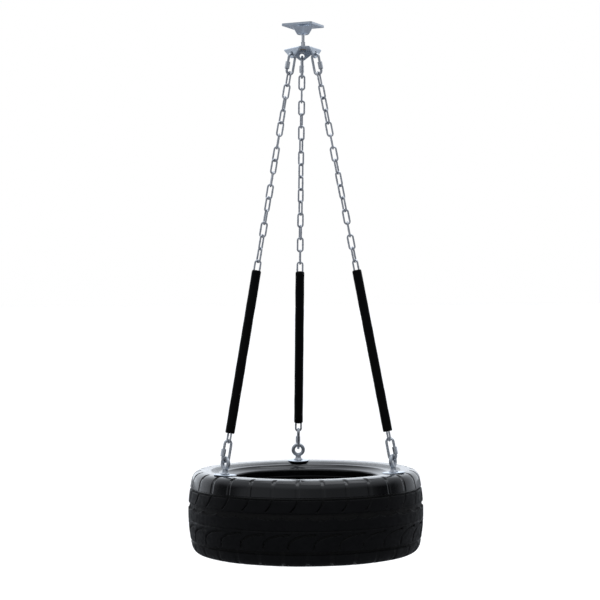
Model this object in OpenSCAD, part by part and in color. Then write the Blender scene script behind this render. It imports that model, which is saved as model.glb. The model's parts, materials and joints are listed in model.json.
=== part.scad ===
// Tyre swing: a tyre hung flat on three chains from a ball-and-socket swivel.
// Origin at the centre of the face that bears on the beam, +Z up, millimetres.
// Leg 1 lies along +X, legs 2 and 3 follow every 120 degrees.

/* [Tyre] */
// Outer diameter of the tyre at the middle of its tread
tyre_d = 640; // [600:5:660]
// Width of the tyre across its sidewalls
tyre_w = 222; // [205:1:235]
// Diameter of the hole inside the bead
bead_d = 406.4; // [380:0.2:412]
// Thickness of the sidewall under the washers
sidewall_t = 8.5; // [7:0.5:10]
// Diameter of a drain hole in the lower sidewall
drain_d = 12; // [8:1:16]

/* [Swivel] */
// Side of the square mounting plate
plate_side = 90; // [84:1:100]
// Hole-to-hole spacing of the mounting bolts
bolt_spacing = 64; // [58:1:66]
// Diameter of a mounting hole
bolt_hole_d = 9; // [7:0.5:10]
// Depth of the swivel housing below the beam
housing_depth = 27; // [27:0.5:28]
// Radius of the ball on the swivel stud
ball_r = 12; // [11.8:0.1:12]
// Diameter of the swivel stud's stem
stem_d = 9; // [8:0.5:9]
// Depth of the bracket's top face below the beam
bracket_drop = 65; // [62:1:76]

/* [Bracket] */
// Distance from the swivel axis to the outer face of an ear
ear_r = 38; // [36:1:42]
// Width of an ear where it is folded down
ear_w = 73; // [66:1:76]
// Height of an ear below the bracket's top face
ear_h = 29; // [27:0.5:31]
// Thickness of the bracket's sheet
bracket_t = 4; // [3:0.5:4]
// Diameter of the hole in an ear
ear_hole_d = 13; // [12.5:0.5:13]

/* [Chain] */
// Links in one chain
link_count = 29; // [27:2:33]
// Inside length of a chain link
link_pitch = 35; // [34:0.5:36]
// Outside width of a chain link
link_w = 20; // [19:0.5:20]
// Wire diameter of a chain link
link_wire_d = 5; // [4.5:0.5:5]
// Length of a grip sleeve
grip_len = 440; // [300:10:480]
// Outside diameter of a grip sleeve
grip_d = 25; // [25:1:30]

/* [Quick link] */
// Inside length of a quick link
quick_len = 50; // [48:1:54]
// Inside width of a quick link
quick_w = 13; // [13:0.5:14]
// Wire diameter of a quick link
quick_wire_d = 7; // [6:0.5:7]
// Length of a quick link's sleeve nut
nut_len = 20; // [18:1:20]

/* [Eye bolt] */
// Radius of the circle that the eye bolts stand on
bolt_circle_r = 259; // [252:1:260]
// Lean of an eye bolt towards the middle, square to the sidewall, in degrees
bolt_lean = 3; // [2:0.5:5]
// Diameter of the large washer on the sidewall
washer_d = 60; // [50:1:62]
// Thickness of the bar that the eye is bent from
eye_bar_d = 10.2; // [9:0.1:10.2]
// Radius of the eye, to the middle of its bar
eye_r = 14.3; // [14.3:0.1:16]

/* [Hidden] */
$fn = 64;

legs = 3;
leg_angle = 360 / legs;
steel = "silver";
rubber = [0.09, 0.09, 0.1];

// Half turns that each chain's links make between its two quick links
half_turns = [12, 13, 10];

// Clearances
fit = 0.05;           // radial, a shaft in its bore
link_gap = 0.15;      // between two links that hang in each other
ear_gap = 1.5;        // between an ear's hole and its quick link
eye_gap = 1;          // between a quick link and its eye
face_gap = 0.1;       // between faces that turn on each other

// Swivel levels, measured down from the beam
plate_t = 3;
flange_t = 2.5;
sheet_t = 2.5;
ball_z = -housing_depth + 9;
stem_r = stem_d / 2;
liner_t = 1.4;
liner_r = ball_r + fit + liner_t;
socket_r = liner_r + 0.1;
swing_limit = 25;
liner_mouth = asin(stem_r / ball_r) + swing_limit + 1.5;
socket_mouth = 61.5;
mouth_r = 12.2;
collar_r = 6.2;
collar_z = -47;
journal_r = 5;
bush_flange_t = 1.2;
bracket_z = -bracket_drop;
washer_z = bracket_z - bracket_t - bush_flange_t - face_gap;
thrust_washer_t = 1.5;
stud_nut_h = 3.2;

// Length of the last link that shows below its grip sleeve
link_shown = 22.5;

// Leg line: from the bottom of the ear's hole down to the top of the eye
ear_mid_r = ear_r - bracket_t / 2;
ear_hole_z = bracket_z - ear_h + 13.1;
ear_seat_z = ear_hole_z - ear_hole_d / 2;
quick_wire_r = quick_wire_d / 2;
link_wire_r = link_wire_d / 2;
eye_bar_r = eye_bar_d / 2;
link_step = link_pitch - link_gap;
upper_quick_s = -ear_gap;
first_link_s = upper_quick_s + quick_len - link_gap;
last_link_s = first_link_s + (link_count - 1) * link_step;
lower_quick_s = last_link_s + link_pitch - link_gap;
eye_top_s = lower_quick_s + quick_len - eye_gap - eye_bar_r;
grip_end_s = last_link_s + link_pitch - link_shown;

// Eye bolt stack, measured up from the sidewall's outer face
washer_t = 3;
eye_stand = 28.5;
eye_centre_h = washer_t + eye_stand;
eye_top_h = eye_centre_h + eye_r;
backing_t = 2.5;
shank_r = 5;
hole_r = 5.4;
lock_nut_h = 10;

eye_top_r = bolt_circle_r - eye_top_h * sin(bolt_lean);
leg_lean = asin((eye_top_r - ear_mid_r) / eye_top_s);
eye_top_z = ear_seat_z - eye_top_s * cos(leg_lean);
seat_z = eye_top_z - eye_top_h * cos(bolt_lean);

// Tyre section: half width at the washers and the level of the tyre's middle
seat_h = tyre_w / 2 - 0.5;
tyre_z = seat_z - seat_h;
crown_r = 420;
tread_edge_h = 88;
bead_r = bead_d / 2;
bead_wire_r = 4.5;
bead_wire_centre = [bead_r + 7.3, seat_h - 27];
drain_angle = 60;

// Points of a cubic curve from p0 to p3, without its first point
function cubic(p0, p1, p2, p3, n = 8) = [
  for (i = [1:n]) let (t = i / n, u = 1 - t)
    p0 * u * u * u + p1 * 3 * u * u * t + p2 * 3 * u * t * t + p3 * t * t * t
];

// Points of an arc about a centre, both ends included
function arc(centre, r, from, to, n = 8) = [
  for (i = [0:n]) let (a = from + (to - from) * i / n)
    centre + r * [cos(a), sin(a)]
];

function mirrored(points) = [
  for (i = [len(points) - 1:-1:0]) [points[i][0], -points[i][1]]
];

// Placing

module on_leg(k) rotate([0, 0, leg_angle * (k - 1)]) children();

// Origin at the bottom of the ear's hole, -Z down the chain, X away from the middle
module leg_frame(k)
  on_leg(k) translate([ear_mid_r, 0, ear_seat_z]) rotate([0, -leg_lean, 0]) children();

// Origin on the sidewall's outer face, Z up the eye bolt
module bolt_frame(k)
  on_leg(k) translate([bolt_circle_r, 0, seat_z]) rotate([0, -bolt_lean, 0]) children();

// Shapes that repeat

module ring(r_out, r_in, h) difference() {
  cylinder(r = r_out, h = h);
  translate([0, 0, -1]) cylinder(r = r_in, h = h + 2);
}

// Half of a bent crown of wire, in the XZ plane, ends at z = 0
module crown(r, wire_r)
  rotate([90, 0, 0]) rotate_extrude(angle = 180) translate([r, 0]) circle(wire_r);

// Closed link whose inside top is at z = 0, in the XZ plane
module chain_link() {
  bend_r = (link_w - link_wire_d) / 2;
  top = -(bend_r - link_wire_r);
  straight = link_pitch + 2 * top;
  translate([0, 0, top]) crown(bend_r, link_wire_r);
  translate([0, 0, top - straight]) rotate([180, 0, 0]) crown(bend_r, link_wire_r);
  for (side = [-1, 1])
    translate([side * bend_r, 0, top - straight]) cylinder(r = link_wire_r, h = straight);
}

// Quick link sizes: its bars' offset, where they end and the gap that the nut closes
bar_x = quick_w / 2 + quick_wire_r;
bar_top = -quick_w / 2;
bar_len = quick_len - quick_w;
stub_len = 6;
mouth_len = 9;
nut_overlap = 3.5;

// Quick link whose inside top is at z = 0, its mouth in the outer bar
module quick_link() color(steel) {
  translate([0, 0, bar_top]) crown(bar_x, quick_wire_r);
  translate([0, 0, bar_top - bar_len]) rotate([180, 0, 0]) crown(bar_x, quick_wire_r);
  translate([-bar_x, 0, bar_top - bar_len]) cylinder(r = quick_wire_r, h = bar_len);
  translate([bar_x, 0, bar_top - bar_len]) cylinder(r = quick_wire_r, h = stub_len);
  translate([bar_x, 0, bar_top - bar_len + stub_len + mouth_len])
    cylinder(r = quick_wire_r, h = bar_len - stub_len - mouth_len);
}

// Sleeve nut across the quick link's mouth
module link_nut() color("darkgray") {
  nut_across = 11;
  translate([bar_x, 0, bar_top - bar_len + stub_len - nut_overlap]) difference() {
    rotate([0, 0, 30]) cylinder(d = nut_across / cos(30), h = nut_len, $fn = 6);
    translate([0, 0, -1]) cylinder(r = quick_wire_r + fit, h = nut_len + 2);
  }
}

// Hexagon nut with its round collar on top, upside down where it is used
module lock_nut(across, r_in, h) {
  collar_h = h * 0.25;
  difference() {
    union() {
      cylinder(d = across / cos(30), h = h - collar_h, $fn = 6);
      translate([0, 0, h - collar_h]) cylinder(d = across * 0.88, h = collar_h);
    }
    translate([0, 0, -1]) cylinder(r = r_in, h = h + 2);
  }
}

// Swivel

module plate_outline() {
  corner_r = 7;
  flat = plate_side / 2 - corner_r;
  square([plate_side, 2 * flat], center = true);
  square([2 * flat, plate_side], center = true);
  for (x = [-1, 1], y = [-1, 1]) translate([x * flat, y * flat]) circle(corner_r);
}

module bolt_holes()
  for (x = [-1, 1], y = [-1, 1])
    translate([x * bolt_spacing / 2, y * bolt_spacing / 2]) circle(d = bolt_hole_d);

rivet_r = 2.5;
rivet_pos = plate_side / 2 - 6.5;

module rivet_places()
  for (a = [0, 90, 180, 270]) rotate([0, 0, a]) translate([rivet_pos, 0]) children();

module mounting_plate() color(steel)
  translate([0, 0, -plate_t]) linear_extrude(plate_t) difference() {
    plate_outline();
    bolt_holes();
    rivet_places() circle(rivet_r);
  }

// Outer line of the pressed cup, from its mouth at the bottom up to the flange
dome_outer = concat(
  [[mouth_r, -housing_depth], [14, -housing_depth]],
  cubic([14, -housing_depth], [16, -housing_depth], [17, -25.5], [18, -23.5], 6),
  cubic([18, -23.5], [21, -18], [24.5, -12.5], [26.5, -9], 6),
  cubic([26.5, -9], [27.5, -7.2], [29, -5.5], [32, -5.5], 6)
);

module swivel_housing() color(steel) {
  top = -plate_t;
  translate([0, 0, top - flange_t]) linear_extrude(flange_t) difference() {
    plate_outline();
    circle(31);
    bolt_holes();
    rivet_places() circle(rivet_r);
  }
  rotate_extrude() polygon(concat(
    dome_outer,
    [[32, top], [27.5, top]],
    cubic([27.5, top], [25.5, -5], [24, -8], [23, -10], 6),
    cubic([23, -10], [20.5, -14.5], [17.5, -19.5], [15.5, -23.2], 6),
    [[14.6, -housing_depth + sheet_t], [mouth_r, -housing_depth + sheet_t]]
  ));
}

// Solid rivets: flush above, domed below
module plate_rivets() color("gray") {
  grip = plate_t + flange_t;
  head_r = 4.2;
  head_h = 2;
  rivet_places() {
    translate([0, 0, -grip - 0.5]) cylinder(r = rivet_r, h = grip + 0.5);
    translate([0, 0, -grip]) rotate([180, 0, 0]) intersection() {
      cylinder(r = head_r, h = head_h);
      translate([0, 0, head_h - 5.5]) sphere(r = 5.5);
    }
  }
}

// Ring pressed into the cup: its hollow carries the liner
module socket_ring() color("goldenrod") {
  top = -10.5;
  bottom = -housing_depth + sheet_t;
  difference() {
    rotate_extrude() polygon([
      [9, bottom], [14.2, bottom], [15.2, bottom + 1.5], [16.6, -20.5], [19.2, -16], [20.6, -13.2],
      [20.6, top], [9, top]
    ]);
    translate([0, 0, ball_z]) {
      sphere(r = socket_r);
      cylinder(r = socket_r, h = 20);
      translate([0, 0, -20]) cylinder(r1 = 20 * tan(socket_mouth), r2 = 0, h = 20);
    }
  }
}

// Pad above the ball that keeps it down in the socket
module keeper_pad() color("ivory") {
  difference() {
    translate([0, 0, ball_z]) cylinder(r = 8, h = -plate_t - ball_z);
    translate([0, 0, ball_z]) sphere(r = ball_r + 0.1);
  }
}

// Nylon liner between ball and socket
module ball_liner() color("whitesmoke")
  translate([0, 0, ball_z]) difference() {
    sphere(r = liner_r);
    sphere(r = ball_r + fit);
    translate([0, 0, -0.5]) cylinder(r = 30, h = 30);
    translate([0, 0, -30]) cylinder(r1 = 30 * tan(liner_mouth), r2 = 0, h = 30);
  }

module ball_stud() color(steel) {
  collar_bottom = bracket_z + face_gap;
  stud_end = washer_z - thrust_washer_t - stud_nut_h - 0.3;
  chamfer = 1;
  translate([0, 0, ball_z]) sphere(r = ball_r);
  translate([0, 0, collar_z - 1]) cylinder(r = stem_r, h = ball_z - collar_z + 1);
  translate([0, 0, collar_z - chamfer]) cylinder(r1 = collar_r, r2 = stem_r, h = chamfer);
  translate([0, 0, collar_bottom])
    cylinder(r = collar_r, h = collar_z - chamfer - collar_bottom);
  translate([0, 0, stud_end]) cylinder(r = journal_r, h = collar_bottom - stud_end);
}

module thrust_washer() color("darkgray")
  translate([0, 0, washer_z - thrust_washer_t]) ring(9.5, journal_r, thrust_washer_t);

module swivel_lock_nut() color("darkgray")
  translate([0, 0, washer_z - thrust_washer_t]) rotate([180, 0, 0])
    lock_nut(16, journal_r, stud_nut_h);

// Spreader bracket

module ear_outline() {
  tip_r = 12.5;
  top = bracket_z - bracket_t;
  tip_z = bracket_z - ear_h + tip_r;
  difference() {
    union() {
      translate([0, tip_z]) circle(tip_r);
      polygon([
        [-ear_w / 2, top], [ear_w / 2, top],
        [tip_r * cos(35) + 1.5, bracket_z - ear_h + 5.6], [7.2, bracket_z - ear_h + 2.3],
        [-7.2, bracket_z - ear_h + 2.3], [-tip_r * cos(35) - 1.5, bracket_z - ear_h + 5.6]
      ]);
    }
    translate([0, ear_hole_z]) circle(d = ear_hole_d);
  }
}

module spreader_bracket() color(steel) {
  fold_r = ear_r - bracket_t;
  corner_r = ear_r * cos(60) + ear_w / 2 * sin(60);
  corner_w = 2 * (ear_r * sin(60) - ear_w / 2 * cos(60));
  difference() {
    translate([0, 0, bracket_z - bracket_t]) linear_extrude(bracket_t) intersection_for(k = [1:legs])
      rotate(leg_angle * (k - 1)) translate([fold_r - 200, -200]) square([200, 400]);
    for (k = [1:legs]) rotate([0, 0, leg_angle * (k - 1) + 180])
      translate([corner_r, -50, bracket_z - bracket_t - 1]) cube([100, 100, bracket_t + 2]);
    translate([0, 0, bracket_z - bracket_t - 1]) cylinder(r = 7, h = bracket_t + 2);
  }
  for (k = [1:legs]) on_leg(k) {
    // Ear below the fold
    translate([ear_r, 0, 0]) rotate([90, 0, -90]) linear_extrude(bracket_t) ear_outline();
    // Rounded fold
    intersection() {
      translate([fold_r, -ear_w / 2, bracket_z - bracket_t]) rotate([-90, 0, 0])
        cylinder(r = bracket_t, h = ear_w);
      translate([fold_r, -ear_w / 2, bracket_z - bracket_t]) cube([bracket_t, ear_w, bracket_t]);
    }
  }
}

// Flanged bush that turns on the stud
module spreader_bush() color("peru") {
  flange_z = bracket_z - bracket_t - bush_flange_t;
  translate([0, 0, flange_z]) ring(10, journal_r + fit, bush_flange_t);
  translate([0, 0, bracket_z - bracket_t]) ring(7, journal_r + fit, bracket_t);
}

// Chain legs

module upper_quick_link(k) leg_frame(k) translate([0, 0, -upper_quick_s]) quick_link();
module upper_link_nut(k) leg_frame(k) translate([0, 0, -upper_quick_s]) link_nut();
module lower_quick_link(k) leg_frame(k) translate([0, 0, -lower_quick_s]) quick_link();
module lower_link_nut(k) leg_frame(k) translate([0, 0, -lower_quick_s]) link_nut();

module chain(k) color(steel) leg_frame(k) {
  turn = half_turns[k - 1] * 180 / (link_count - 1);
  for (i = [0:link_count - 1])
    translate([0, 0, -first_link_s - i * link_step]) rotate([0, 0, 90 + i * turn]) chain_link();
}

// Soft tube over the lower links, its ends drawn in
module grip_sleeve(k) color(rubber) leg_frame(k) {
  bore_r = link_w / 2 + 0.3;
  r = grip_d / 2;
  end = 5;
  translate([0, 0, -grip_end_s]) rotate_extrude() polygon(concat(
    [[bore_r, 0]],
    cubic([bore_r + 0.4, 0], [r - 0.9, 0.4], [r, 2], [r, end], 5),
    [[r, grip_len - end]],
    cubic([r, grip_len - end], [r, grip_len - 2], [r - 0.9, grip_len - 0.4],
      [bore_r + 0.4, grip_len], 5),
    [[bore_r, grip_len]]
  ));
}

// Eye bolts and what holds them in the sidewall

module eye_bolt(k) color(steel) bolt_frame(k) {
  neck_h = eye_centre_h - eye_r;
  shank_len = sidewall_t + backing_t + lock_nut_h + 3;
  translate([0, 0, eye_centre_h]) rotate([0, 90, 0])
    rotate_extrude() translate([eye_r, 0]) circle(eye_bar_r);
  // Shoulder and neck
  rotate_extrude() polygon(concat(
    [[0, washer_t], [12.5, washer_t], [12.5, washer_t + 2]],
    cubic([12.5, washer_t + 2], [9, washer_t + 3.5], [7, washer_t + 7], [6.6, neck_h - 2], 5),
    [[0, neck_h - 2]]
  ));
  translate([0, 0, neck_h - 4]) cylinder(r = 4.5, h = 4);
  translate([0, 0, -shank_len]) cylinder(r = shank_r, h = shank_len + washer_t + 0.5);
}

module eye_washer(k) color(steel) bolt_frame(k) ring(washer_d / 2, hole_r, washer_t);

module backing_washer(k) color(steel) bolt_frame(k)
  translate([0, 0, -sidewall_t - backing_t]) ring(19, hole_r, backing_t);

module eye_lock_nut(k) color("darkgray") bolt_frame(k)
  translate([0, 0, -sidewall_t - backing_t]) rotate([180, 0, 0]) lock_nut(17, shank_r, lock_nut_h);

// Tyre

tread_edge_r = tyre_d / 2 - crown_r + sqrt(crown_r * crown_r - tread_edge_h * tread_edge_h);
seat_slope = tan(bolt_lean);
seat_dir = [1, seat_slope];
seat_point = [bolt_circle_r, seat_h];
inner_seat = seat_point + sidewall_t * [sin(bolt_lean), -cos(bolt_lean)];
inner_flat = 21;

// Outer line, from the middle of the tread to the bead
tyre_outer = concat(
  arc([tyre_d / 2 - crown_r, 0], crown_r, 0, asin(tread_edge_h / crown_r), 8),
  cubic([tread_edge_r, tread_edge_h], [tread_edge_r - 2.7, tread_edge_h + 10.2],
    [bolt_circle_r + 43, seat_h - 2.5], [bolt_circle_r + 30, seat_h - 0.4], 8),
  cubic([bolt_circle_r + 30, seat_h - 0.4], [bolt_circle_r + 23, seat_h + 0.7],
    seat_point + 13 * seat_dir, seat_point, 8),
  cubic(seat_point, seat_point - 12 * seat_dir, [bead_r + 27, seat_h - 6],
    [bead_r + 17, seat_h - 12.5], 8),
  cubic([bead_r + 17, seat_h - 12.5], [bead_r + 11, seat_h - 16.4], [bead_r + 5, seat_h - 18],
    [bead_r + 1.3, seat_h - 19.5], 6),
  [[bead_r, seat_h - 21.5], [bead_r, seat_h - 38]]
);

// Inner line, from the bead back to the middle of the tread
tyre_inner = concat(
  cubic([bead_r, seat_h - 38], [bead_r + 0.4, seat_h - 40.5], [bead_r + 2, seat_h - 41],
    [bead_r + 3.5, seat_h - 40], 4),
  cubic([bead_r + 3.5, seat_h - 40], [bead_r + 11, seat_h - 34], [bead_r + 19, seat_h - 14],
    inner_seat - inner_flat * seat_dir, 10),
  [inner_seat + inner_flat * seat_dir],
  cubic(inner_seat + inner_flat * seat_dir, inner_seat + (inner_flat + 10) * seat_dir,
    [tread_edge_r - 9, tread_edge_h + 4], [tread_edge_r - 8, tread_edge_h - 18], 8),
  cubic([tread_edge_r - 8, tread_edge_h - 18], [tread_edge_r - 7, tread_edge_h - 38],
    [tyre_d / 2 - 16, 30], [tyre_d / 2 - 16, 0], 6)
);

module tyre() color(rubber)
  difference() {
    translate([0, 0, tyre_z]) difference() {
      rotate_extrude($fn = 128) polygon(concat(
        mirrored([for (i = [1:len(tyre_outer) - 1]) tyre_outer[i]]),
        tyre_outer,
        tyre_inner,
        mirrored([for (i = [0:len(tyre_inner) - 2]) tyre_inner[i]])
      ));
      for (side = [-1, 1]) bead_wire_at(side, bead_wire_r);
      for (k = [1:legs]) on_leg(k) rotate([0, 0, drain_angle])
        translate([bolt_circle_r, 0, -seat_h - 10]) cylinder(d = drain_d, h = 40);
    }
    for (k = [1:legs]) bolt_frame(k) translate([0, 0, -sidewall_t - 10])
      cylinder(r = hole_r, h = sidewall_t + 20);
  }

module bead_wire_at(side, r)
  translate([0, 0, side * bead_wire_centre[1]]) rotate_extrude($fn = 128)
    translate([bead_wire_centre[0], 0]) circle(r);

module bead_wire(side) color("gray") translate([0, 0, tyre_z]) bead_wire_at(side, bead_wire_r);

// Nodes

mounting_plate();
swivel_housing();
plate_rivets();
socket_ring();
keeper_pad();
ball_liner();
ball_stud();
thrust_washer();
swivel_lock_nut();
spreader_bracket();
spreader_bush();
for (k = [1:legs]) {
  upper_quick_link(k);
  upper_link_nut(k);
  chain(k);
  grip_sleeve(k);
  lower_quick_link(k);
  lower_link_nut(k);
  eye_bolt(k);
  eye_washer(k);
  backing_washer(k);
  eye_lock_nut(k);
}
tyre();
bead_wire(1);  // bead_wire_upper
bead_wire(-1);  // bead_wire_lower
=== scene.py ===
"""Tyre swing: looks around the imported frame. Metres, +Z up, origin at the face that bears on the beam."""

import json
import math

import bmesh
import bpy
import numpy as np
from mathutils import Euler, Matrix, Vector


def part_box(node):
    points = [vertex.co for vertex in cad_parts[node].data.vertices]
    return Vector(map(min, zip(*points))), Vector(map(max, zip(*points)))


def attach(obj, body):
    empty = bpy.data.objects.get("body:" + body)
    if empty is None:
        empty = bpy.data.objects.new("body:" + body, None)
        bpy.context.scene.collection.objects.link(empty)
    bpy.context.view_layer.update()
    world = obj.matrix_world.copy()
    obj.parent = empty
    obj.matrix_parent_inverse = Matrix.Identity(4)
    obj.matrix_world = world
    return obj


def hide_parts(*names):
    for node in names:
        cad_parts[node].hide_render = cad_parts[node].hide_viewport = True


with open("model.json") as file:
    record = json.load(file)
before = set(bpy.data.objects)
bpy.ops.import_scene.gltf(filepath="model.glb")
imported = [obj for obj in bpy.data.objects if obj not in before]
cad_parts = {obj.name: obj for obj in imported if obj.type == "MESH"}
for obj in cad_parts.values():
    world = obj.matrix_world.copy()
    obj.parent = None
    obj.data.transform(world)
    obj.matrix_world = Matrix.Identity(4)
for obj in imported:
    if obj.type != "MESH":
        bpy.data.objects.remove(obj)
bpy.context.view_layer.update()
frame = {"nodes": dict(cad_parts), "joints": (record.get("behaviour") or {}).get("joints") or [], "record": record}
nodes = frame["nodes"]

LEGS = (1, 2, 3)
LEG_ANGLE = 2 * math.pi / 3
LEG_DEGREES = 120

# ---------------------------------------------------------------- camera

CAMERA_AZIMUTH = math.radians(25.5)
CAMERA_DISTANCE = 4.644
CAMERA_HEIGHT = -0.7513
CAMERA_ASIDE = 0.0125
CAMERA_ROLL = math.radians(-0.35)
CAMERA_LENS = 102.1
SENSOR_WIDTH = 36


def make_camera():
    """The camera in front of the object, a little aside and a little rolled, as the photograph has it."""
    back = Vector((math.sin(CAMERA_AZIMUTH), -math.cos(CAMERA_AZIMUTH), 0))
    right = Vector((math.cos(CAMERA_AZIMUTH), math.sin(CAMERA_AZIMUTH), 0))
    data = bpy.data.cameras.new("camera")
    data.lens = CAMERA_LENS
    data.sensor_width = SENSOR_WIDTH
    camera = bpy.data.objects.new("camera", data)
    bpy.context.scene.collection.objects.link(camera)
    camera.location = back * CAMERA_DISTANCE - right * CAMERA_ASIDE + Vector((0, 0, CAMERA_HEIGHT))
    level = Euler((math.pi / 2, 0, CAMERA_AZIMUTH)).to_matrix()
    camera.rotation_euler = (level @ Matrix.Rotation(CAMERA_ROLL, 3, "Z")).to_euler()
    bpy.context.scene.camera = camera


make_camera()

# ---------------------------------------------------------------- studio

FLOOR_Z = -1.9
FLOOR_REACH = 300
FLOOR_SEEN = (1.0, 0.96, 0.92, 1)
FLOOR_BOUNCE = (0.38, 0.38, 0.39, 1)
FLOOR_GLOW = 0.22
ROOM_COLOUR = (0.88, 0.93, 1.0, 1)
# How bright the room is at the object's sides, before it, behind it and above it
SIDE_GLOW = 0.12
FRONT_GLOW = 0.5
BACK_GLOW = 2.0
SKY_GLOW = 1.0
LEFT_GLOW, RIGHT_GLOW = 1.15, 0.7


def make_world():
    """A soft white room: bright above and behind the object, less so before it, and dim at its two sides."""
    world = bpy.data.worlds.new("studio")
    bpy.context.scene.world = world
    world.use_nodes = True
    tree = world.node_tree
    tree.nodes.clear()
    coords = tree.nodes.new("ShaderNodeTexCoord").outputs["Generated"]

    def band(axis, low, high, to_low, to_high, both_ways=False):
        """A brightness that goes smoothly from to_low to_high between two places along an axis."""
        along = tree.nodes.new("ShaderNodeVectorMath")
        along.operation = "DOT_PRODUCT"
        along.inputs[1].default_value = axis
        tree.links.new(coords, along.inputs[0])
        value = along.outputs["Value"]
        if both_ways:
            size = tree.nodes.new("ShaderNodeMath")
            size.operation = "ABSOLUTE"
            tree.links.new(value, size.inputs[0])
            value = size.outputs["Value"]
        ramp = tree.nodes.new("ShaderNodeMapRange")
        ramp.interpolation_type = "SMOOTHSTEP"
        for name, number in (("From Min", low), ("From Max", high), ("To Min", to_low), ("To Max", to_high)):
            ramp.inputs[name].default_value = number
        tree.links.new(value, ramp.inputs["Value"])
        return ramp.outputs["Result"]

    def together(operation, first, second):
        """Two values joined by a sum, a product or the like."""
        node = tree.nodes.new("ShaderNodeMath")
        node.operation = operation
        tree.links.new(first, node.inputs[0])
        tree.links.new(second, node.inputs[1])
        return node.outputs["Value"]

    sin, cos = math.sin(CAMERA_AZIMUTH), math.cos(CAMERA_AZIMUTH)
    forward, sideways, up = (sin, -cos, 0), (cos, sin, 0), (0, 0, 1)
    depth = together("MULTIPLY", band(forward, 0.12, 0.5, SIDE_GLOW, 1.0, both_ways=True),
                     band(forward, -0.3, 0.3, 1.0, FRONT_GLOW))
    depth = together("MULTIPLY", depth, band(forward, -0.95, -0.5, BACK_GLOW, 1.0))
    walls = together("MULTIPLY", depth, band(sideways, -0.9, 0.6, LEFT_GLOW, RIGHT_GLOW))
    glow = together("MAXIMUM", walls, band(up, 0.2, 0.8, 0.0, SKY_GLOW))
    room = tree.nodes.new("ShaderNodeBackground")
    room.inputs["Color"].default_value = ROOM_COLOUR
    tree.links.new(glow, room.inputs["Strength"])
    seen = tree.nodes.new("ShaderNodeBackground")
    seen.inputs["Color"].default_value = (1, 1, 1, 1)
    mix = tree.nodes.new("ShaderNodeMixShader")
    tree.links.new(tree.nodes.new("ShaderNodeLightPath").outputs["Is Camera Ray"], mix.inputs["Fac"])
    tree.links.new(room.outputs["Background"], mix.inputs[1])
    tree.links.new(seen.outputs["Background"], mix.inputs[2])
    tree.links.new(mix.outputs["Shader"], tree.nodes.new("ShaderNodeOutputWorld").inputs["Surface"])


def area_light(name, at, to, size, power, colour):
    """A soft rectangular light at one place, facing another."""
    data = bpy.data.lights.new(name, "AREA")
    data.shape = "RECTANGLE"
    data.size, data.size_y = size
    data.energy = power
    data.color = colour
    light = bpy.data.objects.new(name, data)
    bpy.context.scene.collection.objects.link(light)
    light.location = at
    light.rotation_euler = (Vector(at) - Vector(to)).to_track_quat("Z", "Y").to_euler()


def make_floor():
    """A plain white floor, which throws less light up at the object than it shows."""
    mesh = bpy.data.meshes.new("floor")
    corners = [(-1, -1), (1, -1), (1, 1), (-1, 1)]
    mesh.from_pydata([(x * FLOOR_REACH, y * FLOOR_REACH, FLOOR_Z) for x, y in corners], [], [(0, 1, 2, 3)])
    floor = bpy.data.objects.new("floor", mesh)
    bpy.context.scene.collection.objects.link(floor)
    material = bpy.data.materials.new("floor")
    material.use_nodes = True
    tree = material.node_tree
    shader = tree.nodes["Principled BSDF"]
    shader.inputs["Roughness"].default_value = 0.9
    shader.inputs["Emission Color"].default_value = (1.0, 1.0, 1.0, 1)
    bounce = tree.nodes.new("ShaderNodeMix")
    bounce.data_type = "RGBA"
    unseen_colour, seen_colour = (socket for socket in bounce.inputs if socket.type == "RGBA")
    unseen_colour.default_value = FLOOR_BOUNCE
    seen_colour.default_value = FLOOR_SEEN
    seen = tree.nodes.new("ShaderNodeLightPath").outputs["Is Camera Ray"]
    tree.links.new(seen, bounce.inputs["Factor"])
    bounced = next(socket for socket in bounce.outputs if socket.type == "RGBA")
    tree.links.new(bounced, shader.inputs["Base Color"])
    glow = tree.nodes.new("ShaderNodeMath")
    glow.operation = "MULTIPLY"
    glow.inputs[1].default_value = FLOOR_GLOW
    tree.links.new(seen, glow.inputs[0])
    tree.links.new(glow.outputs["Value"], shader.inputs["Emission Strength"])
    mesh.materials.append(material)


make_world()
make_floor()
area_light("overhead", at=(0.3, 0.6, 2.2), to=(0, 0, -1.2), size=(3.0, 3.0), power=40,
           colour=(0.93, 0.96, 1.0))
bpy.context.scene.view_settings.view_transform = "Standard"

# ---------------------------------------------------------------- materials


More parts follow.
